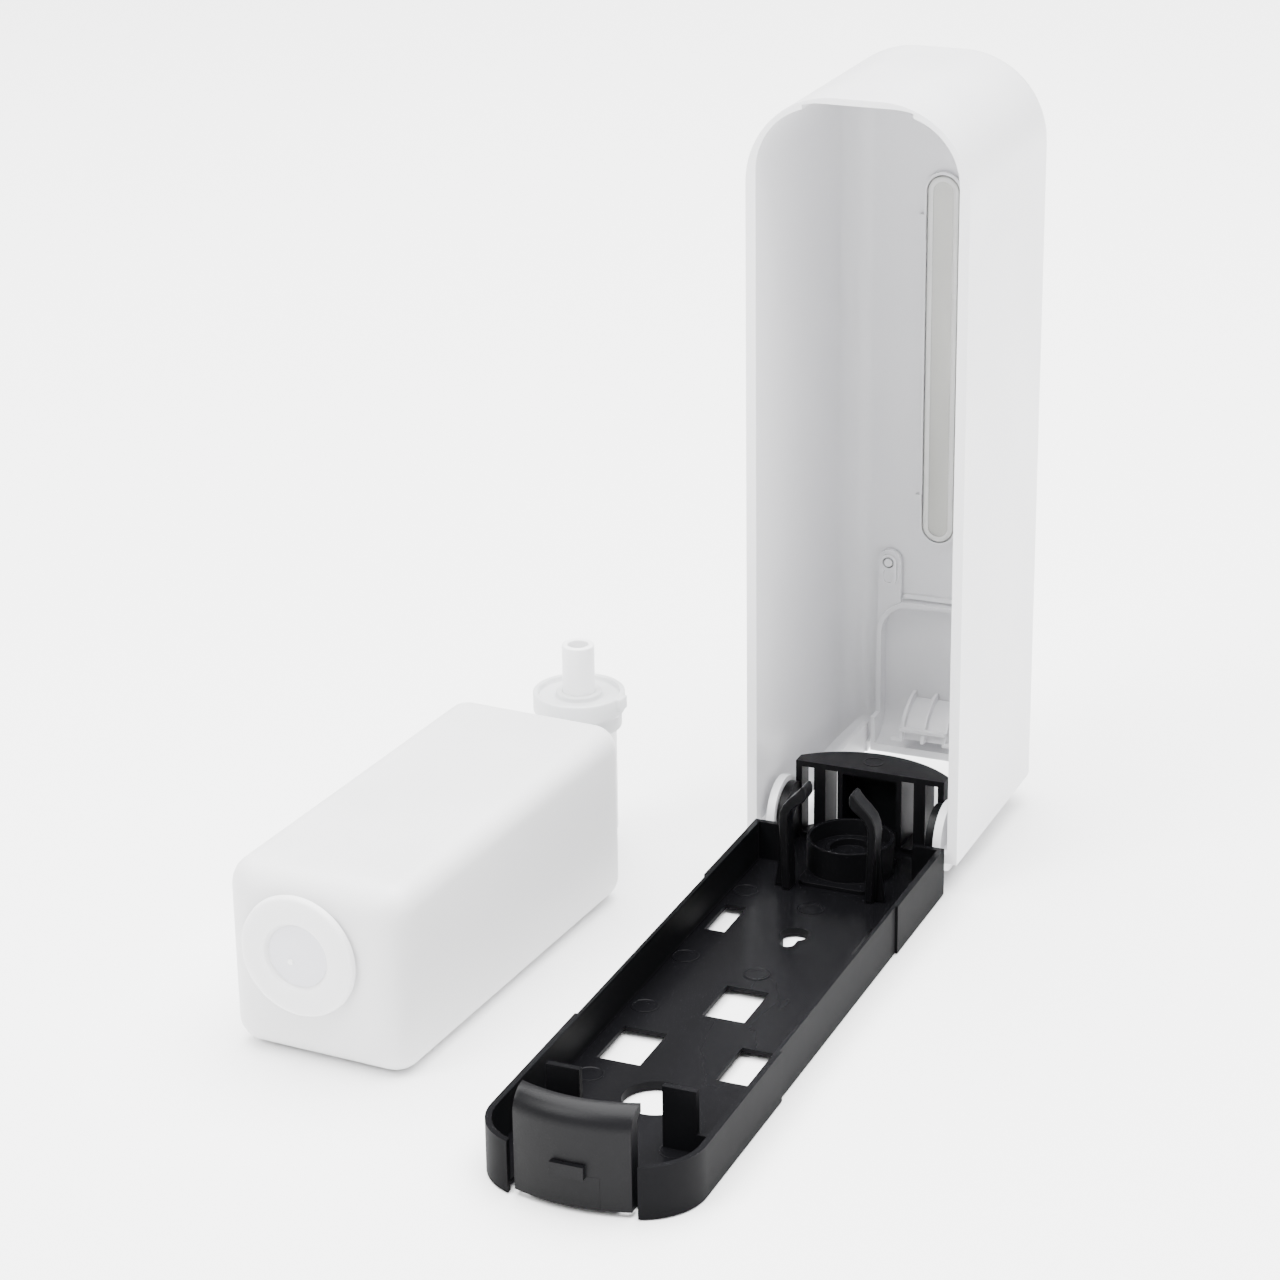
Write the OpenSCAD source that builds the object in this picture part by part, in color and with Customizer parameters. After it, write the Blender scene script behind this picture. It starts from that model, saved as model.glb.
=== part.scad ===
// Wall mounted soap dispenser, shown opened for refilling.
// Units are millimetres. Z points out of the wall, Y runs down the wall,
// X runs across it. The origin is the centre of the screw keyhole, on the wall.
// The black tray lies on the wall, the white cover is swung open by 90 degrees
// and the refill bottle with its pump lies beside the tray.

/* [Bottle] */
// width of the bottle, which also sets the width of the tray and cover
bottle_w = 54.6; // [45:0.1:66]
// height of the bottle when it lies down
bottle_h = 53.8; // [45:0.1:65]
// length of the bottle body, which also sets the length of the tray and cover
bottle_l = 129; // [105:0.5:155]
// wall thickness of the bottle
bottle_t = 1.2; // [0.8:0.1:2]
// edge rounding of the bottle
bottle_r = 6.5; // [3:0.1:9]
// outer radius of the bottle neck
neck_r = 8.2; // [6.8:0.1:9]
// radius of the refill cap
cap_r = 17.3; // [15:0.1:21]
// radius of the plug that closes the bottle
plug_r = 13.6; // [10:0.1:15]

/* [Tray] */
// room between the bottle and each side wall of the tray
bottle_gap = 0.2; // [0.1:0.05:1]
// room between the bottle base and the tabs
tab_gap = 15.05; // [4:0.05:20]
// distance from the tabs to the latch end of the tray
latch_room = 33.4; // [24:0.1:45]
// distance from the keyhole to the hinge end of the side walls
tray_down = 45; // [40:1:55]
// height of the side walls
tray_wall_h = 14.5; // [10:0.5:20]
// thickness of the side walls
tray_wall_t = 1.7; // [1.4:0.1:2.5]
// depth of the long recess in the outer side faces
side_recess = 0.7; // [0.3:0.1:0.9]
// corner radius of the tray at the latch end
tray_corner_r = 17; // [12:0.5:20]
// underside of the floor above the wall
floor_z0 = 1.3; // [0.8:0.1:2]
// upper side of the floor
floor_z1 = 2.6; // [2:0.1:4]
// radius of the keyhole that drops over the screw head
keyhole_r = 4.1; // [3:0.1:5]
// width of the keyhole neck
keyhole_neck_w = 4.2; // [3:0.1:5]
// radius of the second fixing hole
round_hole_r = 9; // [5:0.5:11]
// distance between the two fixing holes
hole_pitch = 101.7; // [95:0.1:105]

/* [Latch] */
// half width of the latch tongue
latch_half_w = 15.8; // [10:0.1:17]
// wall thickness of the latch tongue
latch_t = 2.6; // [1.8:0.1:3.5]
// height of the latch tongue
latch_h = 28.5; // [22:0.5:34]
// rounding of the top of the tongue
latch_top_r = 6; // [4:0.1:7]
// radius of the curved front of the tongue
latch_front_r = 49.3; // [40:0.1:80]
// distance the tongue stands out of the tray end
latch_proud = 1.3; // [0.5:0.1:1.3]
// distance the catch stands out of the tongue
catch_out = 1.3; // [0.6:0.1:1.3]

/* [Cover] */
// gap between the tray and the cover at each side
cover_side_gap = 0.3; // [0.2:0.05:1]
// gap between the tray and the cover at the latch end
cover_end_gap = 1.8; // [1.8:0.1:3]
// room between the plunger and the front of the closed cover
front_room = 10.9; // [10:0.1:14]
// wall thickness of the cover
cover_t = 3; // [2.4:0.1:4]
// lower end of the opened cover above the wall
cover_z0 = 9.1; // [9:0.1:11]
// distance of the rim in front of the hinge axis
cover_rim_dy = 11.85; // [10:0.05:12]
// outer radius of the two top corners
cover_corner_r = 25.5; // [20:0.1:27]
// outer rounding of the front edges
cover_front_r = 11.6; // [8:0.1:13]
// depth of the thinned place in the rim that clears the catch
rim_recess = 1.2; // [0.8:0.1:1.4]

/* [Hinge] */
// distance of the hinge axis behind the side walls
hinge_back = 13.25; // [13:0.05:16]
// height of the hinge axis above the wall
hinge_z = 12.55; // [12.4:0.05:14]
// radius of the hinge pins
pin_r = 1.0; // [0.8:0.05:1.5]
// radial clearance of the pins in their holes
pin_clear = 0.05; // [0.02:0.01:0.1]
// radius of the cover lugs
lug_r = 10.5; // [6:0.1:11]
// radius of the tray ears
ear_r = 9; // [5:0.1:10]

/* [Button] */
// half width of the push button
button_half_w = 18.5; // [16:0.1:19]
// top of the push button above the wall
button_top = 58; // [54:0.5:60]
// clearance round the push button
button_gap = 0.8; // [0.4:0.1:1.2]
// distance the push button stands out of the cover
button_proud = 0.8; // [0.2:0.1:1.5]

/* [Window] */
// half width of the view window core
lens_half_w = 3.85; // [2.5:0.05:5]
// distance from the top of the cover to the upper window end
lens_drop = 44.2; // [35:0.1:60]
// lower centre of the window ends
lens_z0 = 83.3; // [82:0.1:95]

/* [Pump] */
// distance of the pump axis beyond the bottle
pump_dy = 24.7; // [24:0.1:28]
// top of the pump collar above the neck axis
collar_up = 23.1; // [22:0.1:26]
// outer radius of the pump collar
collar_r = 13.6; // [13:0.1:16]
// outer radius of the pump housing
hub_r = 11; // [10:0.1:12]
// outer radius of the plunger stem
stem_r = 4.8; // [3.8:0.1:5.8]
// bore radius of the plunger stem
stem_bore_r = 3; // [2.2:0.1:3.2]
// length of the plunger stem above the collar
stem_out = 14.6; // [12:0.1:18]
// inner radius of the pump cylinder
cylinder_r = 6.2; // [5.1:0.1:7.4]
// radial running clearance of the stem, piston and plug
run_clear = 0.05; // [0.02:0.01:0.1]

/* [Hidden] */
$fn = 96;
bx = -88.4;
by = -50.1;
byaw = -3.63;
neck_z = bottle_h / 2;
near = -bottle_l / 2;
far = bottle_l / 2;
pump_y = far + pump_dy;
ring_y = tray_down + 1.15;
ring_z = 13.1;
ring_t = 1;
ring_r = hub_r + 0.8 + ring_t;
deck_z = 8;
step_z = 3.8;
tray_half_w = bottle_w / 2 + bottle_gap + tray_wall_t;
tab_y1 = ring_y - pump_dy - bottle_l - tab_gap;
tab_t = 1.8;
tray_up = latch_room - tab_y1;
hinge_y = tray_down + hinge_back;
collar_top = neck_z + collar_up;
collar_z0 = collar_top - 6;
stem_top = collar_top + stem_out;
shank_r = 3.6;
housing_z0 = neck_z - 20.9;
sleeve_r = cylinder_r + 1.4;
sleeve_z0 = housing_z0 + 6;
seat_z = sleeve_z0 + 1.6;
piston_z0 = sleeve_z0 + 16;
cap_x = -2.6;
cap_z = neck_z + 5.7;
cover_half_w = tray_half_w + cover_side_gap + cover_t;
cover_in_w = cover_half_w - cover_t;
cover_inner_r = tray_corner_r + 2;
cover_z1 = hinge_z + hinge_y + tray_up + cover_end_gap + cover_t;
rim_y = hinge_y - cover_rim_dy;
front_in = hinge_y - hinge_z + floor_z1 + stem_top + front_room;
front_y = front_in + cover_t;
lens_z1 = cover_z1 - lens_drop;
guard_y = hinge_y + 4.05;
guard_half_w = 23.1;
guard_h = 27.2;
guard_r = 34;
guard_back = guard_y + 13.2;
ear_x0 = 21.8;
ear_x1 = 24.2;
lug_x0 = 24.6;
lug_x1 = 27;
cut_half_w = 24.5;
cut_r = 23.5;
drip_half_w = 20;
post_y = tray_down - 19;
post_d = 5.6;
pivot_y = front_in - 2.3;
pivot_z = 70.5;
latch_y = -tray_up - latch_proud;

// ---- shared helpers ----

// extrudes a YZ outline along X between x0 and x1
module along_x(x0, x1) {
  translate([x0, 0, 0])
    rotate([90, 0, 90])
      linear_extrude(height = x1 - x0)
        children();
}

// extrudes an XZ outline along Y between y0 and y1
module along_y(y0, y1) {
  translate([0, y1, 0])
    rotate([90, 0, 0])
      linear_extrude(height = y1 - y0)
        children();
}

// cylinder along Y between y0 and y1
module rod_y(r, y0, y1) {
  translate([0, y0, 0])
    rotate([-90, 0, 0])
      cylinder(r = r, h = y1 - y0);
}

// cylinder along X between x0 and x1
module rod_x(r, x0, x1) {
  translate([x0, 0, 0])
    rotate([0, 90, 0])
      cylinder(r = r, h = x1 - x0);
}

// plain box given by its six limits
module span(x0, x1, y0, y1, z0, z1) {
  translate([x0, y0, z0])
    cube([x1 - x0, y1 - y0, z1 - z0]);
}

// copies its children to the other side of the middle plane
module both_sides() {
  children();
  mirror([1, 0, 0])
    children();
}

// places the bottle unit beside the tray
module beside() {
  translate([bx, by, 0])
    rotate([0, 0, byaw])
      children();
}

// upright stadium outline used by the window
module stadium(r) {
  translate([0, lens_z0])
    circle(r = r);
  translate([0, lens_z1])
    circle(r = r);
  translate([-r, lens_z0])
    square([2 * r, lens_z1 - lens_z0]);
}

// ---- tray ----

// tray outline with the two round corners at the latch end
module tray_outline(inset) {
  hw = tray_half_w - inset;
  rc = tray_corner_r - inset;
  y1 = -tray_up + inset;
  translate([-hw, y1 + rc])
    square([2 * hw, tray_down - y1 - rc]);
  translate([-hw + rc, y1])
    square([2 * (hw - rc), rc + 1]);
  translate([-hw + rc, y1 + rc])
    circle(r = rc);
  translate([hw - rc, y1 + rc])
    circle(r = rc);
}

module keyhole(h) {
  cylinder(r = keyhole_r, h = h);
  span(-keyhole_neck_w / 2, keyhole_neck_w / 2, -6.2, 0, 0, h);
  translate([0, -6.2, 0])
    cylinder(r = keyhole_neck_w / 2, h = h);
}

module back_plate() {
  color([0.03, 0.03, 0.035])
    difference() {
      union() {
        // side walls
        difference() {
          linear_extrude(height = tray_wall_h)
            tray_outline(0);
          translate([0, 0, -1])
            linear_extrude(height = tray_wall_h + 2)
              tray_outline(tray_wall_t);
          span(-20, 20, tray_down - 5, tray_down + 1, floor_z1, 40);
        }
        // end walls beside the hinge
        both_sides()
          span(20, tray_half_w, tray_down - tray_wall_t, tray_down, 0, tray_wall_h);
        // floor
        translate([0, 0, floor_z0])
          linear_extrude(height = floor_z1 - floor_z0)
            tray_outline(tray_wall_t / 2);
        // floor under the cradle and the guard
        span(-ear_x1, ear_x1, tray_down - 1, guard_y + 4, floor_z0, floor_z1);
        both_sides()
          span(ear_x1 - 1.5, ear_x1, tray_down - 1, guard_y + 4, 0, floor_z1);
        intersection() {
          translate([0, guard_back - guard_r, 0])
            cylinder(r = guard_r, h = floor_z1, $fn = 160);
          span(-guard_half_w, guard_half_w, guard_y, guard_back + 1, 0, floor_z1);
        }
        // raised pads round the two fixing holes
        translate([0, -2, 0])
          cylinder(r = 10, h = floor_z1);
        translate([0, -hole_pitch, 0])
          cylinder(r = round_hole_r + 3, h = floor_z1);
        // upright tabs that hold the bottle base
        both_sides() {
          span(11.3, 20.6, tab_y1 - tab_t, tab_y1, floor_z0, 20);
          span(20, tray_half_w - tray_wall_t / 2, tab_y1 - tab_t, tab_y1, floor_z0, 8);
        }
      }
      // fixing holes
      translate([0, 0, -1])
        keyhole(10);
      translate([0, -hole_pitch, -1])
        cylinder(r = round_hole_r, h = 10);
      // square openings in the floor
      both_sides()
        span(tray_half_w - 10.2, tray_half_w - 4, -6, 11, -1, 10);
      span(-6.15, 6.15, -54.9, -36.2, -1, 10);
      both_sides()
        span(10.7, 23.2, -87.1, -68.2, -1, 10);
      // long recess in the outer side faces
      both_sides()
        span(tray_half_w - side_recess, tray_half_w + 1, -87, 4, -1, 40);
      // room for the latch tongue
      span(-latch_half_w - 1.7, latch_half_w + 1.7, -tray_up - 5, latch_y + 7.6, -1, 40);
    }
}

module pump_cradle() {
  color([0.03, 0.03, 0.035])
    translate([0, 0, floor_z1])
      difference() {
        union() {
          span(-11.2, 11.2, post_y + 7.5, ring_y + 9.85, 0, step_z - floor_z1);
          span(-8.2, 8.2, post_y + 4.5, post_y + 8, 0, step_z - floor_z1);
          both_sides()
            translate([8.2, post_y + 7.5, 0])
              cylinder(r = 3, h = step_z - floor_z1);
          translate([0, ring_y, 0])
            cylinder(r = ring_r, h = ring_z - floor_z1);
        }
        translate([0, ring_y, deck_z - floor_z1])
          difference() {
            cylinder(r = ring_r - ring_t, h = 10);
            translate([0, 0, -1])
              cylinder(r = 7, h = 2.6);
          }
        translate([0, ring_y, deck_z - floor_z1 - 0.6])
          cylinder(r = 6, h = 10);
      }
}

// one clip post, its hook leaning toward the middle plane
module clip_post() {
  color([0.03, 0.03, 0.035])
    union() {
      along_y(post_y, post_y + post_d)
        polygon([[11.5, floor_z1], [13.9, floor_z1], [14.3, 14], [14.9, 24], [14.6, 27],
          [13.5, 29.4], [11.7, 31.5], [9.9, 33.2], [8.7, 34.6], [7.9, 35.8],
          [6.9, 36], [6.4, 34.4], [6.4, 32.4], [7.3, 31], [9.2, 29.6],
          [10.9, 28], [11.9, 26], [12.2, 23.4], [11.8, 14]]);
      // gusset on the outside of the post
      translate([0, post_y + 2, 0])
        along_y(0, 1.4)
          polygon([[13.4, floor_z1], [17, floor_z1], [15.8, 10], [14.4, 22]]);
    }
}

module clip_post_left() {
  mirror([1, 0, 0])
    clip_post();
}

module clip_post_right() {
  clip_post();
}

module outlet_guard() {
  color([0.03, 0.03, 0.035])
    difference() {
      union() {
        intersection() {
          translate([0, guard_back - guard_r, floor_z1])
            cylinder(r = guard_r, h = guard_h - floor_z1, $fn = 160);
          span(-guard_half_w, guard_half_w, guard_y, guard_back + 1, floor_z1, guard_h);
        }
        both_sides() {
          // ears that carry the hinge pins
          translate([0, hinge_y, hinge_z])
            rod_x(ear_r, ear_x0, ear_x1);
          span(ear_x0, ear_x1, hinge_y - 7.6, hinge_y + 7.6, floor_z1, hinge_z);
        }
      }
      both_sides() {
        span(10, 13.8, guard_y - 1, 90, 4, 25.5);
        span(17.4, 21.2, guard_y - 1, 90, 4, 25.5);
        translate([0, hinge_y, hinge_z])
          rod_x(pin_r + pin_clear, ear_x0 - 1, 30);
      }
      // outlet channel and its small window
      span(-8.4, 8.4, guard_y - 1, guard_back - 3.2, 4, 25);
      span(-2.8, 1, guard_y, 90, 20.5, 23);
    }
}

module hinge_pin() {
  color([0.75, 0.75, 0.77])
    translate([0, hinge_y, hinge_z])
      rod_x(pin_r, ear_x0, lug_x1);
}

module hinge_pin_left() {
  mirror([1, 0, 0])
    hinge_pin();
}

module hinge_pin_right() {
  hinge_pin();
}

module latch_tongue() {
  roll = latch_front_r - latch_top_r;
  roll_z = latch_h - latch_top_r;
  color([0.035, 0.035, 0.04])
    union() {
      // curved front with its rolled top
      intersection() {
        translate([0, latch_y + latch_front_r, 0])
          rotate_extrude($fn = 200)
            union() {
              translate([latch_front_r - latch_t, floor_z0])
                square([latch_t, roll_z - floor_z0]);
              translate([roll, roll_z])
                intersection() {
                  difference() {
                    circle(r = latch_top_r);
                    circle(r = latch_top_r - latch_t);
                  }
                  square([latch_top_r, latch_top_r]);
                }
            }
        span(-latch_half_w, latch_half_w, latch_y - 10, latch_y + 15, 0, 40);
      }
      // side cheeks that turn back from the front
      both_sides()
        along_x(latch_half_w - 1.6, latch_half_w) {
          translate([latch_y + latch_t + 1, floor_z0])
            square([3, roll_z - floor_z0]);
          intersection() {
            translate([latch_y + latch_top_r + 2.6, roll_z])
              circle(r = latch_top_r);
            translate([latch_y + latch_t + 1, roll_z - 1])
              square([3, 10]);
          }
        }
      // foot that joins the tongue to the floor
      span(-12, 12, latch_y + 2, latch_y + 7.3, floor_z0, floor_z1);
      // catch on the front of the tongue
      span(-4.6, 4.6, latch_y - catch_out, latch_y + 1, 9.9, 13.4);
    }
}

// ---- cover ----

// solid of the cover form, with round top corners and round front edges
module cover_form(hw, y0, y1, z0, z1, rc, rf) {
  // straight part with both front edges rounded
  translate([0, 0, z0])
    linear_extrude(height = z1 - rc - z0) {
      translate([-hw, y0])
        square([2 * hw, y1 - rf - y0]);
      translate([-hw + rf, y0])
        square([2 * (hw - rf), y1 - y0]);
      translate([-hw + rf, y1 - rf])
        circle(r = rf);
      translate([hw - rf, y1 - rf])
        circle(r = rf);
    }
  // straight top strip
  along_x(-hw + rc, hw - rc) {
    translate([y0, z1 - rc - 1])
      square([y1 - rf - y0, rc + 1]);
    translate([y0, z1 - rc - 1])
      square([y1 - y0, rc - rf + 1]);
    translate([y1 - rf, z1 - rf])
      circle(r = rf);
  }
  // round top corners
  both_sides()
    translate([hw - rc, y0, z1 - rc])
      rotate([-90, 0, 0])
        rotate_extrude()
          union() {
            square([rc, y1 - y0 - rf]);
            square([rc - rf, y1 - y0]);
            translate([rc - rf, y1 - y0 - rf])
              intersection() {
                circle(r = rf);
                square([rf, rf]);
              }
          }
}

// rounding of the lower front edge, as a YZ outline
module lower_front(y1, z0, r) {
  translate([0, z0 + r])
    square([y1, 400]);
  translate([0, z0])
    square([y1 - r, 400]);
  translate([y1 - r, z0 + r])
    circle(r = r);
}

// outline of the push button opening, grown by g
module button_outline(g) {
  hw = button_half_w + g;
  top = button_top + g;
  r = 11 + g;
  translate([-hw, 0])
    square([2 * hw, top - r]);
  translate([-hw + r, 0])
    square([2 * (hw - r), top]);
  translate([-hw + r, top - r])
    circle(r = r);
  translate([hw - r, top - r])
    circle(r = r);
}

module cover_shell() {
  color([0.93, 0.93, 0.92])
    difference() {
      union() {
        difference() {
          intersection() {
            cover_form(cover_half_w, rim_y, front_y, cover_z0, cover_z1,
              cover_corner_r, cover_front_r);
            along_x(-50, 50)
              lower_front(front_y, cover_z0, cover_front_r);
          }
          intersection() {
            cover_form(cover_in_w, rim_y - 5, front_in, cover_z0 + cover_t,
              cover_z1 - cover_t, cover_inner_r, cover_front_r - cover_t);
            along_x(-50, 50)
              lower_front(front_in, cover_z0 + cover_t, cover_front_r - cover_t);
          }
          // room for the outlet guard when the cover swings
          span(-cut_half_w, cut_half_w, rim_y - 1, hinge_y + cut_r, 0, cover_z0 + cover_t + 1);
          // outlet opening toward the front
          span(-drip_half_w, drip_half_w, hinge_y + cut_r - 1, front_y - cover_front_r, 0,
            cover_z0 + cover_t + 1);
        }
        both_sides() {
          // lugs on the hinge pins
          translate([0, hinge_y, hinge_z])
            rod_x(lug_r, lug_x0, lug_x1);
          span(lug_x0, cover_in_w + 0.5, hinge_y - 8, hinge_y + 14, cover_z0, cover_z0 + cover_t);
          // low flanges beside the outlet opening
          span(drip_half_w, drip_half_w + 1.6, hinge_y + cut_r, front_in - 6, cover_z0 + 1, 18);
        }
        // stakes for the button arms
        both_sides()
          translate([14.95, 0, pivot_z])
            rod_y(1.3, pivot_y - 1.2, front_in + 0.5);
        // raised lip round the upper part of the button opening
        intersection() {
          along_y(front_in - 1.2, front_in + 0.5)
            button_outline(button_gap + 1.4);
          span(-10.7, 10.7, front_in - 20, front_y, 45, 80);
        }
        // raised frame that holds the window
        along_y(front_in - 1.5, front_in + 0.5)
          stadium(lens_half_w + 2.15);
        both_sides() {
          span(5.2, 7.2, front_in - 2, front_in + 0.5, 172.7, 180.2);
          span(5.2, 7.2, front_in - 2, front_in + 0.5, 89.9, 93.1);
        }
      }
      // push button opening
      along_y(front_y - cover_front_r - 0.2, front_y + 5)
        button_outline(button_gap);
      // window seat and slot
      along_y(front_in - 10, front_in)
        stadium(lens_half_w + 1.3);
      along_y(front_in - 10, front_y + 5)
        stadium(lens_half_w + 0.15);
      // hinge pin holes
      both_sides()
        translate([0, hinge_y, hinge_z])
          rod_x(pin_r + pin_clear, 20, lug_x1 + 0.3);
      // thinned place in the rim that clears the catch
      intersection() {
        cover_form(cover_in_w + rim_recess, rim_y - 5, front_in, cover_z0, cover_z1 - cover_t + rim_recess,
          cover_inner_r + rim_recess, cover_front_r - cover_t);
        span(-16, 16, rim_y - 1, rim_y + 16, cover_z1 - 20, cover_z1);
      }
    }
}

module window_lens() {
  color([0.55, 0.58, 0.54, 0.7])
    union() {
      along_y(front_in - 1.3, front_in)
        stadium(lens_half_w + 1.1);
      along_y(front_in - 0.5, front_y - 0.3)
        stadium(lens_half_w);
    }
}

// raised oval on the end pad of a button arm
module pad_oval(r, z0, z1) {
  translate([14.95, z0])
    circle(r = r);
  translate([14.95, z1])
    circle(r = r);
  translate([14.95 - r, z0])
    square([2 * r, z1 - z0]);
}

module push_button() {
  out_y = front_y + button_proud;
  in_y = out_y - 2.4;
  skirt_y = front_in - 3.2;
  arm_y = front_in - 2.2;
  color([0.93, 0.93, 0.92])
    difference() {
      union() {
        // shell and its skirt
        difference() {
          intersection() {
            along_y(front_y - cover_front_r + 0.5, out_y)
              button_outline(0);
            along_x(-30, 30)
              lower_front(out_y, cover_z0 + 0.5, cover_front_r);
          }
          intersection() {
            along_y(skirt_y - 20, in_y)
              button_outline(-1.4);
            along_x(-30, 30)
              lower_front(in_y, cover_z0 + 2.9, cover_front_r - 2.4);
          }
          span(-30, 30, skirt_y - 20, skirt_y, cover_z0 + cover_front_r, 80);
        }
        // arms and their end pads
        both_sides() {
          difference() {
            span(11.3, 18.6, arm_y, arm_y + 1.6, 50.4, pivot_z);
            along_y(arm_y - 1, arm_y + 3)
              button_outline(-1.4);
          }
          translate([14.95, 0, pivot_z])
            rod_y(3.65, arm_y, arm_y + 1.6);
          along_y(arm_y - 1.4, arm_y + 0.5)
            pad_oval(2.6, 65.4, pivot_z);
        }
      }
      both_sides()
        translate([14.95, 0, pivot_z])
          rod_y(1.8, pivot_y - 20, front_y);
      both_sides()
        along_y(arm_y - 1.5, arm_y - 0.6)
          pad_oval(1.5, 65.4, 67);
    }
}

// one curved rib of the spout
module spout_rib(x) {
  along_x(x - 0.5, x + 0.5)
    intersection() {
      translate([front_in + 1.1, 12.8])
        difference() {
          circle(r = 15);
          circle(r = 11.6);
        }
      translate([front_in - 20, 16.4])
        square([21.1, 20]);
    }
}

module button_spout() {
  color([0.93, 0.93, 0.92])
    union() {
      spout_rib(-7);
      spout_rib(0);
      spout_rib(7);
      // curved deflector behind the ribs
      along_x(-7, 7)
        intersection() {
          translate([front_in + 1.1, 12.8])
            difference() {
              circle(r = 12.8);
              circle(r = 11.6);
            }
          translate([front_in - 20, 16.4])
            square([21.1, 20]);
        }
      span(-7.4, 7.4, front_in - 13.2, front_in - 11.6, 19.6, 20.6);
      both_sides()
        span(6.6, 10, front_in - 13.6, front_in - 11.6, 16.4, 17.4);
    }
}

// ---- bottle and pump ----

// rectangle with round corners, centred
module soft_rect(x, y, r) {
  square([x, y - 2 * r], center = true);
  square([x - 2 * r, y], center = true);
  for (i = [-1, 1])
    for (j = [-1, 1])
      translate([i * (x / 2 - r), j * (y / 2 - r)])
        circle(r = r);
}

// box with all edges rounded
module soft_box(x, y, z, r) {
  intersection() {
    translate([0, 0, -z / 2])
      linear_extrude(height = z)
        soft_rect(x, y, r);
    along_x(-x / 2, x / 2)
      soft_rect(y, z, r);
    along_y(-y / 2, y / 2)
      soft_rect(x, z, r);
  }
}

module bottle() {
  color([0.9, 0.9, 0.9, 0.8])
    beside()
      difference() {
        union() {
          translate([0, 0, bottle_h / 2])
            soft_box(bottle_w, bottle_l, bottle_h, bottle_r);
          translate([0, 0, neck_z])
            rod_y(neck_r, far - 1, far + 9);
        }
        translate([0, 0, bottle_h / 2])
          soft_box(bottle_w - 2 * bottle_t, bottle_l - 2 * bottle_t,
            bottle_h - 2 * bottle_t, bottle_r - bottle_t);
        translate([0, 0, neck_z])
          rod_y(neck_r - 1.6, far - 5, far + 20);
        translate([cap_x, 0, cap_z])
          rod_y(plug_r + run_clear, near - 5, near + 5);
      }
}

module refill_cap() {
  color([0.95, 0.95, 0.95])
    beside()
      translate([cap_x, 0, cap_z])
        difference() {
          union() {
            rod_y(cap_r, near - 2.9, near - 0.9);
            rod_y(plug_r, near - 1, near + 6);
            translate([-2.2, 0, -2])
              rod_y(0.8, near - 2, near - 1.4);
          }
          difference() {
            rod_y(9.6, near - 5, near - 1.7);
            translate([-2.2, 0, -2])
              rod_y(0.8, near - 2.3, near - 1.4);
          }
          rod_y(plug_r - 1.4, near - 0.4, near + 10);
        }
}

module cap_liner() {
  color([0.85, 0.85, 0.85])
    beside()
      translate([cap_x, 0, cap_z])
        difference() {
          rod_y(cap_r - 0.9, near - 0.88, near - 0.02);
          rod_y(plug_r + 0.3, near - 5, near + 5);
        }
}

module neck_gasket() {
  color([0.8, 0.8, 0.8])
    beside()
      translate([0, 0, neck_z])
        difference() {
          rod_y(neck_r, far + 9.05, far + 10.05);
          rod_y(neck_r - 1.6, far + 5, far + 20);
        }
}

module pump_housing() {
  color([0.95, 0.95, 0.95])
    beside()
      difference() {
        union() {
          translate([0, pump_y, housing_z0])
            cylinder(r = hub_r, h = collar_z0 - 0.05 - housing_z0);
          translate([0, 0, neck_z])
            rod_y(neck_r + 2.8, far + 0.6, pump_y - 4);
          translate([0, 0, neck_z])
            rod_y(neck_r + 4.2, far + 0.6, far + 4.6);
        }
        translate([0, pump_y, housing_z0 + 2])
          cylinder(r = hub_r - 1.6, h = 80);
        translate([0, 0, neck_z])
          rod_y(neck_r + run_clear, far - 5, far + 10.1);
        translate([0, 0, neck_z])
          rod_y(neck_r - 2.8, far + 5, pump_y);
      }
}

module pump_cylinder() {
  color([0.9, 0.9, 0.9])
    beside()
      translate([0, pump_y, 0])
        difference() {
          union() {
            translate([0, 0, sleeve_z0])
              cylinder(r = sleeve_r, h = collar_z0 - 0.05 - sleeve_z0);
            translate([0, 0, collar_z0 - 2.05])
              cylinder(r = hub_r - 1.7, h = 2);
          }
          translate([0, 0, seat_z])
            cylinder(r = cylinder_r, h = 80);
          translate([0, 0, housing_z0])
            cylinder(r = 1.6, h = 20);
        }
}

module pump_collar() {
  color([0.9, 0.9, 0.9, 0.85])
    beside()
      translate([0, pump_y, 0])
        difference() {
          union() {
            translate([0, 0, collar_z0])
              cylinder(r = collar_r, h = collar_top - collar_z0);
            translate([0, 0, collar_z0 - 5])
              cylinder(r = hub_r + 1.6, h = 6);
            span(collar_r - 1.5, collar_r + 1.2, -2.4, 2.4, collar_z0 + 2, collar_top);
          }
          // shallow dish round the stem
          translate([0, 0, collar_top - 1.6])
            difference() {
              cylinder(r = collar_r - 1.6, h = 10);
              translate([0, 0, -1])
                cylinder(r = stem_r + 2, h = 3.4);
            }
          translate([0, 0, collar_z0 - 10])
            cylinder(r = hub_r + run_clear, h = 10);
          cylinder(r = stem_r + run_clear, h = 200);
        }
}

module inlet_ball() {
  color([0.8, 0.8, 0.82])
    beside()
      translate([0, pump_y, seat_z + 1.85])
        sphere(r = 2.4);
}

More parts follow.
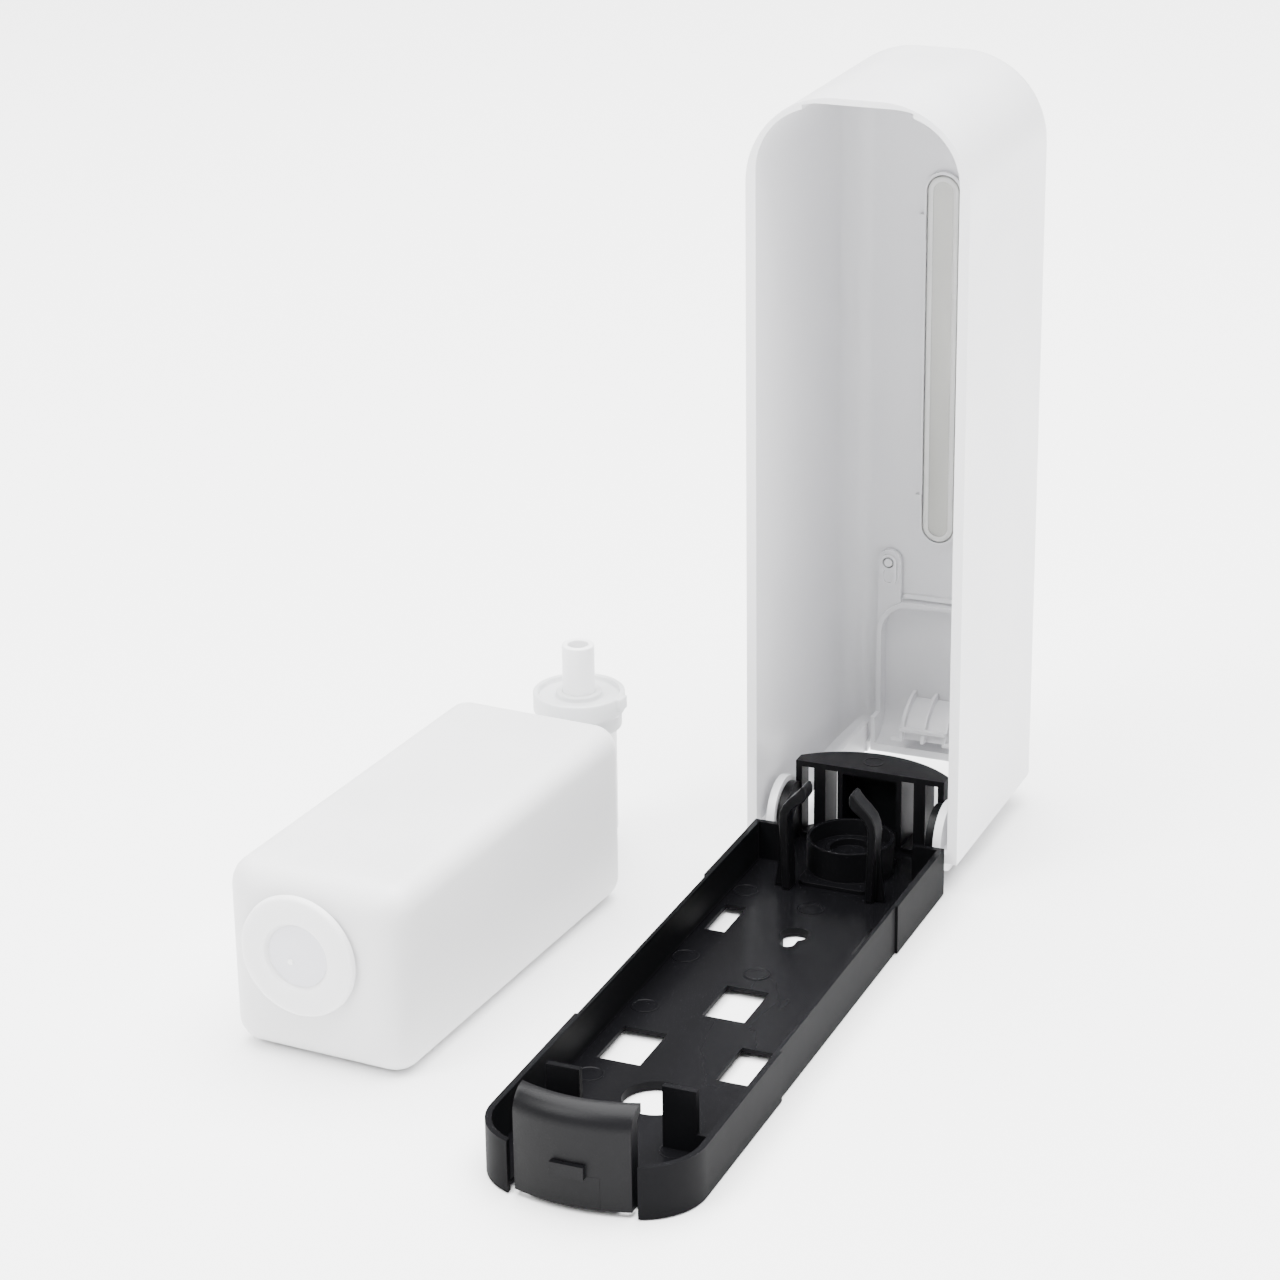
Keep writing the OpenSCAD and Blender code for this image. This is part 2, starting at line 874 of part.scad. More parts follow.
// coil spring made of half rings that rise in turn
module pump_spring() {
  turns = 5;
  z0 = seat_z + 0.4;
  z1 = piston_z0 - 0.4;
  mean_r = cylinder_r - 1.3;
  wire_r = 0.35;
  rise = (z1 - z0) / (2 * turns);
  tilt = atan(rise / (2 * mean_r));
  ring_rad = sqrt(mean_r * mean_r + rise * rise / 4);
  color([0.75, 0.75, 0.78])
    beside()
      translate([0, pump_y, 0])
      {
        for (i = [0 : 2 * turns - 1])
          translate([0, 0, z0 + (i + 0.5) * rise])
            rotate([0, 0, i * 180])
              rotate([0, tilt, 0])
                rotate_extrude(angle = 180, $fn = 64)
                  translate([ring_rad, 0])
                    circle(r = wire_r, $fn = 24);
        // a bead at each joint ties the half rings into one wire
        for (i = [1 : 2 * turns - 1])
          translate([i % 2 == 0 ? mean_r : -mean_r, 0, z0 + i * rise])
            sphere(r = wire_r * 1.12);
      }
}

module plunger_stem() {
  color([0.93, 0.93, 0.93])
    beside()
      translate([0, pump_y, 0])
        difference() {
          union() {
            translate([0, 0, collar_z0 - 4])
              cylinder(r = stem_r, h = stem_top - collar_z0 + 4);
            translate([0, 0, piston_z0])
              cylinder(r = shank_r, h = collar_z0 - 3 - piston_z0);
          }
          translate([0, 0, collar_z0])
            cylinder(r = stem_bore_r, h = 60);
          translate([0, 0, piston_z0 - 5])
            cylinder(r = 1.6, h = 40);
        }
}

module piston() {
  color([0.88, 0.88, 0.88])
    beside()
      translate([0, pump_y, piston_z0])
        difference() {
          cylinder(r = cylinder_r - 0.3, h = 5);
          translate([0, 0, -1])
            cylinder(r = shank_r + run_clear, h = 10);
        }
}

module piston_seal() {
  color([0.2, 0.2, 0.2])
    beside()
      translate([0, pump_y, piston_z0 + 5.1])
        difference() {
          cylinder(r = cylinder_r - run_clear, h = 3);
          translate([0, 0, -1])
            cylinder(r = shank_r + run_clear, h = 10);
        }
}

module outlet_ball() {
  color([0.8, 0.8, 0.82])
    beside()
      translate([0, pump_y, collar_z0 + stem_bore_r - 1.3])
        sphere(r = stem_bore_r - 0.7);
}

back_plate();
pump_cradle();
clip_post_left();
clip_post_right();
outlet_guard();
hinge_pin_left();
hinge_pin_right();
latch_tongue();
cover_shell();
window_lens();
push_button();
button_spout();
bottle();
refill_cap();
cap_liner();
neck_gasket();
pump_housing();
pump_cylinder();
pump_collar();
inlet_ball();
pump_spring();
plunger_stem();
piston();
piston_seal();
outlet_ball();
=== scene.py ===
"""Looks of the opened wall soap dispenser: black tray, white cover, bottle with its pump."""
import math

import bmesh
import bpy
from mathutils import Matrix, Vector


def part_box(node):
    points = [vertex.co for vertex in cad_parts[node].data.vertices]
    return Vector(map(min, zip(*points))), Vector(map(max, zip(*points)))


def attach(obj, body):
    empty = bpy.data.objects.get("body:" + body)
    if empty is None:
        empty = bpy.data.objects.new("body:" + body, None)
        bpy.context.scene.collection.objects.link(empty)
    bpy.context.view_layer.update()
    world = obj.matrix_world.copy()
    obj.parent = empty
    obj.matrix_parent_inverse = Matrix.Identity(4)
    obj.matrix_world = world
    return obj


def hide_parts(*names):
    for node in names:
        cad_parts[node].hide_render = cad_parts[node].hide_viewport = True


MM = 0.001
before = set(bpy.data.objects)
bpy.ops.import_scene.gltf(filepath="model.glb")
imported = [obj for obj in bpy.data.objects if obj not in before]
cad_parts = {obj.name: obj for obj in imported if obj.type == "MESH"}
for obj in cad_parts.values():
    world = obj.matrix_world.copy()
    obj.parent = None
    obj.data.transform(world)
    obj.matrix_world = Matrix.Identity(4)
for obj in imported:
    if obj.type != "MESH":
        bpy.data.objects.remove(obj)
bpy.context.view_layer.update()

# ---- driving sizes, in metres, in the row frame ----

# the bottle unit lies beside the tray, turned a little
UNIT_PLACE = Matrix.Translation((-88.4 * MM, -50.1 * MM, 0)) @ Matrix.Rotation(math.radians(-3.63), 4, "Z")
BOTTLE_W = 54.6 * MM
BOTTLE_L = 129 * MM
BOTTLE_H = 53.8 * MM
BOTTLE_WALL = 1.2 * MM
NECK_R = 8.2 * MM
NECK_LENGTH = 9 * MM
CAP_X = -2.6 * MM
CAP_Z = 32.6 * MM
CAP_R = 17.3 * MM
PLUG_R = 13.6 * MM
PUMP_Y = BOTTLE_L / 2 + 24.7 * MM
FLOOR_TOP = 2.6 * MM

# camera of the main view
CAMERA_AT = Vector((320.40 * MM, -854.86 * MM, 456.02 * MM))
CAMERA_AZIMUTH = math.radians(23.213)
CAMERA_ELEVATION = math.radians(21.722)
CAMERA_ROLL = math.radians(-0.847)
CAMERA_LENS = 101.09


# ---- materials ----

class Nodes:
    """A material with its Principled shader and short calls to add nodes."""

    def __init__(self, name, color, roughness):
        self.material = bpy.data.materials.new(name)
        self.material.use_nodes = True
        self.tree = self.material.node_tree
        self.shader = self.tree.nodes["Principled BSDF"]
        self.shader.inputs["Base Color"].default_value = (*color, 1)
        self.shader.inputs["Roughness"].default_value = roughness
        self.place = self.add("ShaderNodeTexCoord").outputs["Object"]

    def add(self, kind, **values):
        node = self.tree.nodes.new(kind)
        for key, value in values.items():
            setattr(node, key, value)
        return node

    def link(self, out, to):
        self.tree.links.new(out, to)

    def noise(self, scale, detail=4, stretch=(1, 1, 1)):
        mapping = self.add("ShaderNodeMapping")
        mapping.inputs["Scale"].default_value = stretch
        self.link(self.place, mapping.inputs["Vector"])
        node = self.add("ShaderNodeTexNoise")
        node.inputs["Scale"].default_value = scale
        node.inputs["Detail"].default_value = detail
        self.link(mapping.outputs["Vector"], node.inputs["Vector"])
        return node.outputs["Fac"]

    def map_range(self, value, low, high, from_low=0.3, from_high=0.7):
        node = self.add("ShaderNodeMapRange")
        node.inputs["From Min"].default_value = from_low
        node.inputs["From Max"].default_value = from_high
        node.inputs["To Min"].default_value = low
        node.inputs["To Max"].default_value = high
        self.link(value, node.inputs["Value"])
        return node.outputs["Result"]

    def mix_color(self, factor, a, b):
        node = self.add("ShaderNodeMix", data_type="RGBA")
        self.link(factor, node.inputs[0])
        node.inputs[6].default_value = (*a, 1)
        node.inputs[7].default_value = (*b, 1)
        self.link(node.outputs[2], self.shader.inputs["Base Color"])

    def roughness(self, factor, low, high):
        self.link(self.map_range(factor, low, high), self.shader.inputs["Roughness"])

    def level(self):
        """1 on faces that look up or down, 0 on upright faces."""
        parts = self.add("ShaderNodeSeparateXYZ")
        self.link(self.add("ShaderNodeTexCoord").outputs["Normal"], parts.inputs["Vector"])
        size = self.add("ShaderNodeMath", operation="ABSOLUTE")
        self.link(parts.outputs["Z"], size.inputs[0])
        return self.map_range(size.outputs["Value"], 0, 1, 0.5, 0.95)

    def roughness_by_level(self, factor, low, high, upright):
        """Glossy level faces and duller upright ones, as the mould was polished."""
        node = self.add("ShaderNodeMix")
        self.link(self.level(), node.inputs[0])
        node.inputs[2].default_value = upright
        self.link(self.map_range(factor, low, high), node.inputs[3])
        self.link(node.outputs[0], self.shader.inputs["Roughness"])

    def bump(self, heights, distance):
        """Adds each (height output, strength) on top of the last."""
        normal = None
        for height, strength in heights:
            node = self.add("ShaderNodeBump")
            node.inputs["Strength"].default_value = strength
            node.inputs["Distance"].default_value = distance
            self.link(height, node.inputs["Height"])
            if normal is not None:
                self.link(normal, node.inputs["Normal"])
            normal = node.outputs["Normal"]
        self.link(normal, self.shader.inputs["Normal"])

    def set(self, **values):
        for key, value in values.items():
            self.shader.inputs[key.replace("_", " ")].default_value = value


def black_plastic(name, gloss_low, gloss_high, upright, grain, shine):
    """Black moulding: faint flow marks and scuffs in its gloss, fine grain in its surface."""
    m = Nodes(name, (0.006, 0.006, 0.007), gloss_low)
    flow = m.noise(22, 6, (1, 0.35, 1))
    fine = m.noise(1800, 2)
    wave = m.noise(55, 2)
    m.mix_color(m.map_range(flow, 0, 1), (0.002, 0.002, 0.0024), (0.0055, 0.0055, 0.0064))
    m.roughness_by_level(flow, gloss_low, gloss_high, upright)
    m.bump([(wave, 0.25), (fine, grain)], 0.0004)
    m.set(Specular_IOR_Level=shine)
    return m.material


def white_plastic(name, color, gloss_low, gloss_high):
    """White moulding with a soft gloss, slight waviness and a little light going into it."""
    m = Nodes(name, color, gloss_low)
    flow = m.noise(14, 3)
    fine = m.noise(900, 2)
    shade = tuple(c * 0.965 for c in color)
    m.mix_color(m.map_range(flow, 0, 1), shade, color)
    m.roughness(m.noise(40, 4), gloss_low, gloss_high)
    m.bump([(flow, 0.06), (fine, 0.03)], 0.0006)
    m.set(Subsurface_Weight=0.12, Subsurface_Scale=0.002, Subsurface_Radius=(1, 1, 1))
    return m.material


def translucent_plastic(name, color, transmission, depth, cloud=0.04):
    """Natural blow moulded plastic: milky, cloudy, with a slightly uneven wall."""
    m = Nodes(name, color, 0.42)
    cloudy = m.noise(28, 5)
    wave = m.noise(36, 2)
    fine = m.noise(1200, 2)
    shade = tuple(c * (1 - cloud) for c in color)
    m.mix_color(m.map_range(cloudy, 0, 1), shade, color)
    m.roughness(cloudy, 0.34, 0.52)
    m.bump([(wave, 0.18), (fine, 0.06)], 0.0008)
    m.set(Subsurface_Weight=0.5, Subsurface_Scale=depth, Subsurface_Radius=(1, 1, 1))
    m.set(Transmission_Weight=transmission, IOR=1.5)
    return m.material


def smoked_plastic(name):
    """Clear window with a greenish grey tint."""
    m = Nodes(name, (0.50, 0.50, 0.47), 0.12)
    streak = m.noise(60, 3, (1, 1, 0.15))
    m.mix_color(m.map_range(streak, 0, 1), (0.44, 0.44, 0.41), (0.54, 0.54, 0.51))
    m.roughness(streak, 0.10, 0.22)
    m.bump([(streak, 0.08)], 0.0004)
    m.set(Transmission_Weight=0.3, IOR=1.49)
    return m.material


def soft_seal(name):
    """Matt grey elastomer of the seals."""
    m = Nodes(name, (0.42, 0.42, 0.43), 0.6)
    grain = m.noise(700, 4)
    m.mix_color(m.map_range(grain, 0, 1), (0.36, 0.36, 0.37), (0.46, 0.46, 0.47))
    m.roughness(grain, 0.5, 0.72)
    m.bump([(grain, 0.15)], 0.0003)
    return m.material


def steel(name, low, high):
    """Drawn steel with fine lines along its length."""
    m = Nodes(name, (0.60, 0.60, 0.62), low)
    lines = m.noise(900, 3, (0.04, 1, 1))
    m.mix_color(m.map_range(lines, 0, 1), (0.52, 0.52, 0.54), (0.68, 0.68, 0.70))
    m.roughness(lines, low, high)
    m.bump([(lines, 0.12)], 0.0002)
    m.set(Metallic=1.0)
    return m.material


TRAY_BLACK = black_plastic("tray black", 0.16, 0.30, 0.6, 0.02, 0.05)
SATIN_BLACK = black_plastic("satin black", 0.26, 0.38, 0.4, 0.08, 0.11)
COVER_WHITE = white_plastic("cover white", (0.755, 0.755, 0.770), 0.30, 0.42)
CAP_WHITE = white_plastic("cap white", (0.88, 0.88, 0.89), 0.34, 0.46)
# painted shade for the cap's recess: a darker, slightly blue grey
RECESS_PAINTED_SHADE = white_plastic("cap recess painted shade", (0.70, 0.70, 0.745), 0.34, 0.46)
LENS_RIM = white_plastic("window rim", (0.70, 0.70, 0.68), 0.18, 0.3)
BOTTLE_MILKY = translucent_plastic("milky bottle", (0.965, 0.965, 0.975), 0.05, 0.01)
COLLAR_MILKY = translucent_plastic("natural collar", (0.84, 0.85, 0.86), 0.30, 0.006, 0.08)
LENS = smoked_plastic("smoked window")
SEAL = soft_seal("soft seal")
SPRING_STEEL = steel("spring steel", 0.18, 0.30)


# ---- mesh helpers ----

def finish_mesh(obj, body, material, smooth_angle=35):
    """Gives the piece its material, soft shading and body."""
    obj.data.materials.clear()
    obj.data.materials.append(material)
    obj.data.shade_smooth()
    mesh = obj.data
    limit = math.radians(smooth_angle)
    bm = bmesh.new()
    bm.from_mesh(mesh)
    for edge in bm.edges:
        edge.smooth = edge.calc_face_angle(math.pi) < limit
    bm.to_mesh(mesh)
    bm.free()
    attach(obj, body)
    return obj


def new_object(name, bm):
    mesh = bpy.data.meshes.new(name)
    bm.to_mesh(mesh)
    bm.free()
    obj = bpy.data.objects.new(name, mesh)
    bpy.context.scene.collection.objects.link(obj)
    return obj


def refined(node, body, material, bevel, segments=3):
    """A copy of a CAD node with its faces joined up and its sharp edges rounded."""
    bm = bmesh.new()
    bm.from_mesh(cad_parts[node].data)
    bmesh.ops.remove_doubles(bm, verts=bm.verts, dist=2e-6)
    bmesh.ops.dissolve_limit(bm, angle_limit=math.radians(0.6), verts=bm.verts, edges=bm.edges)
    obj = new_object(node + "_piece", bm)
    edges = obj.modifiers.new("edge rounding", "BEVEL")
    edges.width = bevel
    edges.segments = segments
    edges.limit_method = "ANGLE"
    edges.angle_limit = math.radians(32)
    edges.use_clamp_overlap = True
    edges.harden_normals = True
    finish_mesh(obj, body, material, 40)
    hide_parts(node)
    return obj


def lathe(name, profile, steps=96, closed=True):
    """Turns a list of (radius, height) points round Z. A closed profile joins its ends."""
    bm = bmesh.new()
    rings = []
    for r, z in profile:
        if r < 1e-7:
            rings.append([bm.verts.new((0, 0, z))])
            continue
        ring = []
        for i in range(steps):
            a = 2 * math.pi * i / steps
            ring.append(bm.verts.new((r * math.cos(a), r * math.sin(a), z)))
        rings.append(ring)
    pairs = list(zip(rings, rings[1:]))
    if closed:
        pairs.append((rings[-1], rings[0]))
    for low, high in pairs:
        for i in range(steps):
            j = (i + 1) % steps
            corners = [low[i % len(low)], low[j % len(low)], high[j % len(high)], high[i % len(high)]]
            unique = list(dict.fromkeys(corners))
            if len(unique) > 2:
                bm.faces.new(unique)
    bmesh.ops.recalc_face_normals(bm, faces=bm.faces)
    return new_object(name, bm)


def rounded_profile(corners):
    """A closed turned profile: each corner is (radius, height, rounding)."""
    points = []
    count = len(corners)
    for i, (r, z, rounding) in enumerate(corners):
        here = Vector((r, z))
        if rounding <= 0:
            points.append((r, z))
            continue
        before = Vector(corners[i - 1][:2]) - here
        after = Vector(corners[(i + 1) % count][:2]) - here
        size = min(rounding, before.length * 0.49, after.length * 0.49)
        a = here + before.normalized() * size
        b = here + after.normalized() * size
        for k in range(6):
            t = k / 5
            p = a * (1 - t) ** 2 + here * (2 * t * (1 - t)) + b * t ** 2
            points.append((p.x, p.y))
    return points


def in_metres(corners):
    """Profile corners, or any rows of lengths, from millimetres to metres."""
    return [tuple(value * MM for value in row) for row in corners]


def turned(name, corners, place, steps=96):
    obj = lathe(name, rounded_profile(corners), steps)
    obj.data.transform(place)
    return obj


# places of the turned pieces of the bottle unit
ABOUT_PUMP = UNIT_PLACE @ Matrix.Translation((0, PUMP_Y, 0))
OUT_OF_NEAR_END = (UNIT_PLACE @ Matrix.Translation((CAP_X, -BOTTLE_L / 2, CAP_Z))
                   @ Matrix.Rotation(math.radians(90), 4, "X"))


# ---- tray ----

def tray():
    """The black moulding on the wall, its hinge pins and its spring latch."""
    refined("back_plate", "tray", TRAY_BLACK, 0.35 * MM)
    refined("pump_cradle", "tray", TRAY_BLACK, 0.3 * MM)
    refined("clip_post_left", "tray", SATIN_BLACK, 0.5 * MM)
    refined("clip_post_right", "tray", SATIN_BLACK, 0.5 * MM)
    refined("outlet_guard", "tray", SATIN_BLACK, 0.5 * MM)
    refined("hinge_pin_left", "tray", SATIN_BLACK, 0.2 * MM)
    refined("hinge_pin_right", "tray", SATIN_BLACK, 0.2 * MM)
    refined("latch_tongue", "latch", SATIN_BLACK, 0.7 * MM, 4)


def ejector_marks():
    """Round ejector marks that the mould left on the tray floor, each a low ring with a sunk middle."""
    places = [(-23.4, 21.6), (-1.5, 16.8), (-23.7, -23.7), (-1, -26.8), (-22.6, -55.4),
              (-21.2, -96), (14.7, -125)]
    profile = in_metres([(2.0, 0, 0), (4.0, 0, 0), (4.0, 0.14, 0.1), (3.5, 0.18, 0.1),
                         (3.2, 0.06, 0.1), (2.0, 0.05, 0)])
    for i, (x, y) in enumerate(in_metres(places)):
        mark = turned(f"ejector_mark_{i}", profile, Matrix.Translation((x, y, FLOOR_TOP)), 48)
        finish_mesh(mark, "tray", TRAY_BLACK)


def latch_mould_line():
    """Fine raised line that the mould insert left on the front of the latch tongue."""
    pull_rib = 1.3 * MM
    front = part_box("latch_tongue")[0].y + pull_rib
    front_r = 49.3 * MM
    path = [(4.8, 10.2), (6.4, 10.2), (8.0, 10.2), (8.0, 7.5), (8.0, 4.5), (8.0, 1.8)]
    bm = bmesh.new()
    width, rise = 0.16 * MM, 0.08 * MM
    rows = []
    for x, z in in_metres(path):
        y = front + front_r - math.sqrt(front_r ** 2 - x ** 2)
        rows.append([bm.verts.new((x + dx * width, y - dy * rise, z + dx * width))
                     for dx, dy in ((-1, -1), (-0.6, 1), (0.6, 1), (1, -1))])
    for low, high in zip(rows, rows[1:]):
        for i in range(3):
            bm.faces.new((low[i], low[i + 1], high[i + 1], high[i]))
    line = new_object("latch_mould_line", bm)
    finish_mesh(line, "latch", SATIN_BLACK)


def guard_mark():
    """Shallow ejector mark on top of the outlet guard."""
    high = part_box("outlet_guard")[1]
    place = Matrix.Translation((-1 * MM, high.y - 6.5 * MM, high.z))
    profile = in_metres([(1.8, 0.01, 0), (3.2, 0.01, 0), (3.2, 0.09, 0.05), (2.9, 0.12, 0.05),
                         (2.7, 0.03, 0.05), (1.8, 0.02, 0)])
    mark = turned("guard_mark", profile, place, 48)
    finish_mesh(mark, "tray", SATIN_BLACK)


# ---- cover ----

def cover():
    """The white cover with its window, push button and spout."""
    refined("cover_shell", "cover", COVER_WHITE, 0.45 * MM)
    refined("window_lens", "cover", LENS, 0.4 * MM)
    window_rim()
    refined("push_button", "button", COVER_WHITE, 0.4 * MM)
    refined("button_spout", "button", COVER_WHITE, 0.3 * MM)


def window_rim():
    """Pale raised rim round the inner side of the window."""
    low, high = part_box("window_lens")
    edge, width, chamfer, steps = 0.35 * MM, 1.5 * MM, 0.15 * MM, 64
    half_w = (high.x - low.x) / 2 - edge
    z0, z1 = low.z + half_w + edge, high.z - half_w - edge
    back, front = low.y - 0.25 * MM, low.y + 0.3 * MM
    shoulder = back + 0.1 * MM
    bm = bmesh.new()
    loops = []
    for inset, y in [(0, front), (0, shoulder), (chamfer, back), (width - chamfer, back),
                     (width, shoulder), (width, front)]:
        r = half_w - inset
        loop = []
        for i in range(steps):
            a = 2 * math.pi * (i + 0.5) / steps
            z = (z1 if math.sin(a) > 0 else z0) + r * math.sin(a)
            loop.append(bm.verts.new((r * math.cos(a), y, z)))
        loops.append(loop)
    for outer, inner in zip(loops, loops[1:] + loops[:1]):
        for i in range(steps):
            j = (i + 1) % steps
            bm.faces.new((outer[i], outer[j], inner[j], inner[i]))
    bmesh.ops.recalc_face_normals(bm, faces=bm.faces)
    rim = new_object("window_rim", bm)
    finish_mesh(rim, "cover", LENS_RIM)


# ---- bottle ----

def rounded_section(half_w, half_h, r, count):
    """Points round a rectangle with round corners, spread evenly over its sides and corners."""
    per = count // 4
    points = []
    for k, (sx, sz) in enumerate([(1, 1), (-1, 1), (-1, -1), (1, -1)]):
        cx, cz = sx * (half_w - r), sz * (half_h - r)
        for i in range(per):
            t = i / (per - 1)
            a = math.radians(90 * k) + t * math.pi / 2
            points.append((cx + r * math.cos(a), cz + r * math.sin(a)))
    return points


def side_sections():
    """(y, shrink) of each section along the bottle, with both ends rounded."""
    near_r, far_r = 9.5 * MM, 6.5 * MM
    half = BOTTLE_L / 2
    angles = [math.pi / 2 * i / 8 for i in range(9)]
    near = sorted((-half + near_r * (1 - math.cos(a)), near_r * (1 - math.sin(a))) for a in angles)
    far = sorted((half - far_r * (1 - math.cos(a)), far_r * (1 - math.sin(a))) for a in angles)
    middle = [(-half + near_r + (BOTTLE_L - near_r - far_r) * i / 24, 0) for i in range(1, 24)]
    return near + middle + far


def bottle():
    """Blow moulded bottle: lofted sections, opening at the near end, neck at the far end."""
    count, edge_r, panel_hollow = 128, 7 * MM, 0.35 * MM
    bm = bmesh.new()
    rings = []
    half = BOTTLE_L / 2
    for y, shrink in side_sections():
        # the panels fall in by a hair between the ends
        hollow = panel_hollow * math.cos(math.pi * y / BOTTLE_L) ** 2
        half_w = BOTTLE_W / 2 - shrink
        half_h = BOTTLE_H / 2 - shrink
        r = max(edge_r - shrink * 0.55, 1.5 * MM)
        ring = []
        for x, z in rounded_section(half_w, half_h, r, count):
            side = max(0.0, 1 - (z / half_h) ** 2)
            x -= math.copysign(hollow * side, x)
            ring.append(bm.verts.new((x, y, z + BOTTLE_H / 2)))
        rings.append(ring)

    def circle_ring(y, r, cx, cz, like):
        ring = []
        for v in like:
            a = math.atan2(v.co.z - BOTTLE_H / 2, v.co.x)
            ring.append(bm.verts.new((cx + r * math.cos(a), y, cz + r * math.sin(a))))
        return ring

    near_hole = circle_ring(-half, PLUG_R + 0.1 * MM, CAP_X, CAP_Z, rings[0])
    neck = [circle_ring(half, NECK_R + 1.2 * MM, 0, BOTTLE_H / 2, rings[-1])]
    neck.append(circle_ring(half + 0.35 * MM, NECK_R + 0.3 * MM, 0, BOTTLE_H / 2, rings[-1]))
    neck.append(circle_ring(half + 1.0 * MM, NECK_R, 0, BOTTLE_H / 2, rings[-1]))
    neck.append(circle_ring(half + NECK_LENGTH, NECK_R, 0, BOTTLE_H / 2, rings[-1]))
    chain = [near_hole] + rings + neck
    for low, high in zip(chain, chain[1:]):
        for i in range(len(low)):
            j = (i + 1) % len(low)
            bm.faces.new((low[i], low[j], high[j], high[i]))
    bmesh.ops.remove_doubles(bm, verts=bm.verts, dist=1e-6)
    bmesh.ops.recalc_face_normals(bm, faces=bm.faces)
    obj = new_object("bottle_piece", bm)
    obj.data.transform(UNIT_PLACE)
    wall = obj.modifiers.new("wall", "SOLIDIFY")
    wall.thickness = BOTTLE_WALL
    wall.offset = -1
    wall.use_even_offset = True
    finish_mesh(obj, "bottle_unit", BOTTLE_MILKY, 50)
    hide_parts("bottle")


def refill_cap():
    """Cap with a round recess and the small nub of its gate, and the liner behind it; a grey disc in the
    recess is painted shade.
    """
    cap_r, plug_r = CAP_R / MM, PLUG_R / MM
    bore_r = plug_r - 1.4
    corners = [(0, 1.65, 0), (9.0, 1.65, 0.4), (9.7, 2.9, 0.35), (cap_r - 0.4, 2.8, 0.8),
               (cap_r, 0.95, 0.3), (plug_r, 0.92, 0.2), (plug_r, -6.0, 0.6), (bore_r, -6.0, 0.3),
               (bore_r, 0.4, 0.4), (0, 0.4, 0)]
    cap = turned("refill_cap_piece", in_metres(corners), OUT_OF_NEAR_END, 128)
    finish_mesh(cap, "cap", BOTTLE_MILKY)
    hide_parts("refill_cap")
    # a thin grey disc laid in the cap's recess is painted shade, darkening the recess where shade falls
    disc = [(0, 1.6, 0), (8.8, 1.6, 0), (8.8, 1.72, 0.05), (0, 1.72, 0)]
    recess = turned("cap_recess_painted_shade", in_metres(disc), OUT_OF_NEAR_END)
    finish_mesh(recess, "cap", RECESS_PAINTED_SHADE)
    nub = [(0, 1.6, 0), (0.9, 1.6, 0), (0.8, 2.15, 0.2), (0, 2.25, 0)]
    place = OUT_OF_NEAR_END @ Matrix.Translation((-2.2 * MM, -2 * MM, 0))
    gate = turned("cap_gate", in_metres(nub), place, 32)
    finish_mesh(gate, "cap", CAP_WHITE)
    refined("cap_liner", "cap", SEAL, 0.2 * MM)


# ---- pump ----

def pump():
    """The pump beside the far end of the bottle; round moving pieces are turned here."""
    def about_pump(name, corners, node, body, material):
        piece = turned(name, in_metres(corners), ABOUT_PUMP)
        finish_mesh(piece, body, material)
        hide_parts(node)

    refined("pump_housing", "bottle_unit", CAP_WHITE, 0.5 * MM)
    refined("pump_collar", "bottle_unit", COLLAR_MILKY, 0.6 * MM, 4)
    about_pump("plunger_stem_piece",
               [(3.0, 44, 0), (3.0, 64.6, 0.5), (4.8, 64.6, 0.7), (4.8, 40, 0.3), (3.6, 40, 0),
                (3.6, 28, 0.3), (1.6, 28, 0), (1.6, 44, 0)],
               "plunger_stem", "plunger", CAP_WHITE)
    about_pump("piston_piece",
               [(3.65, 28, 0.2), (5.9, 28, 0.5), (5.9, 30, 0.4), (5.2, 30.4, 0.3), (5.2, 32.4, 0.3),
                (5.9, 33, 0.3), (3.65, 33, 0.1)],
               "piston", "plunger", CAP_WHITE)
    about_pump("piston_seal_piece",
               [(3.65, 33.1, 0.1), (5.6, 33.1, 0.4), (6.15, 35.2, 0.5), (6.0, 36.1, 0.2), (5.2, 34.6, 0.4),
                (4.3, 34.6, 0.3), (4.2, 36.1, 0.2), (3.65, 36.1, 0)],
               "piston_seal", "plunger", SEAL)
    refined("pump_cylinder", "bottle_unit", COLLAR_MILKY, 0.2 * MM)
    refined("neck_gasket", "bottle_unit", SEAL, 0.2 * MM)


def carried_over():
    """CAD nodes whose shape is final and that only take a material."""
    slots = {"inlet_ball": "valve_ball", "outlet_ball": "valve_ball", "pump_spring": "spring_steel"}
    for node, slot in slots.items():
        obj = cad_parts[node]
        obj.data.materials.clear()
        obj.data.materials.append(SPRING_STEEL)


# ---- stage ----

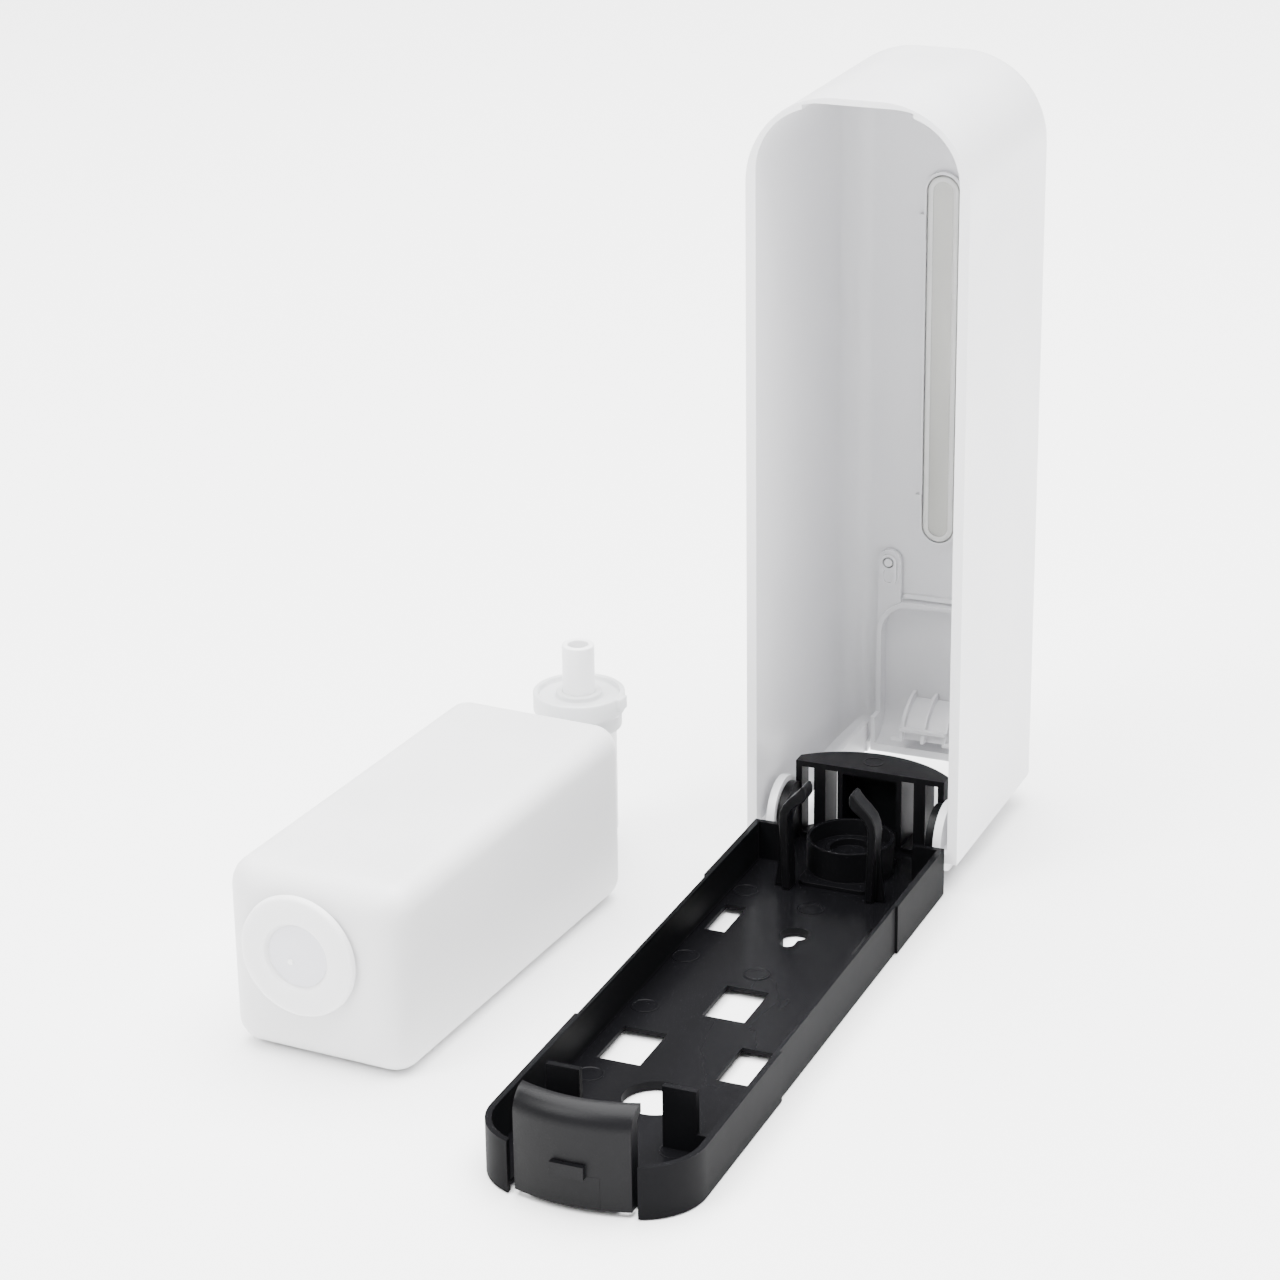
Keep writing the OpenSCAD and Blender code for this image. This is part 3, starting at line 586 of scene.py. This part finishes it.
def floor():
    bm = bmesh.new()
    bmesh.ops.create_grid(bm, x_segments=2, y_segments=2, size=6)
    obj = new_object("floor", bm)
    obj.location.z = -0.0004
    m = Nodes("pale floor", (0.96, 0.96, 0.96), 0.8)
    m.roughness(m.noise(3, 2), 0.75, 0.9)
    obj.data.materials.append(m.material)


def area_light(name, place, aim, size, power):
    data = bpy.data.lights.new(name, "AREA")
    data.shape = "DISK"
    data.size = size
    data.energy = power
    obj = bpy.data.objects.new(name, data)
    bpy.context.scene.collection.objects.link(obj)
    obj.location = place
    obj.rotation_euler = (Vector(place) - Vector(aim)).to_track_quat("Z", "Y").to_euler()


def studio():
    floor()
    aim = (-0.02, 0.0, 0.08)
    area_light("key", (-0.9, -1.3, 1.5), aim, 1.0, 44)
    area_light("fill", (1.6, -0.5, 0.9), aim, 1.2, 16)
    area_light("top", (0.0, 0.4, 2.4), (0.0, 0.4, 0.0), 3.5, 430)
    world = bpy.data.worlds.new("studio")
    world.use_nodes = True
    background = world.node_tree.nodes["Background"]
    background.inputs["Color"].default_value = (1, 1, 1, 1)
    background.inputs["Strength"].default_value = 0.7
    bpy.context.scene.world = world


def camera():
    a, e, r = CAMERA_AZIMUTH, CAMERA_ELEVATION, CAMERA_ROLL
    back = Vector((math.sin(a) * math.cos(e), -math.cos(a) * math.cos(e), math.sin(e)))
    right = (-back).cross(Vector((0, 0, 1))).normalized()
    up = right.cross(-back)
    turned_right = right * math.cos(r) + up * math.sin(r)
    turned_up = up * math.cos(r) - right * math.sin(r)
    data = bpy.data.cameras.new("camera")
    data.lens = CAMERA_LENS
    data.sensor_width = 36
    data.clip_end = 50
    obj = bpy.data.objects.new("camera", data)
    bpy.context.scene.collection.objects.link(obj)
    pose = Matrix((turned_right, turned_up, back)).transposed().to_4x4()
    pose.translation = CAMERA_AT
    obj.matrix_world = pose
    bpy.context.scene.camera = obj


tray()
ejector_marks()
latch_mould_line()
guard_mark()
cover()
bottle()
refill_cap()
pump()
carried_over()
studio()
camera()
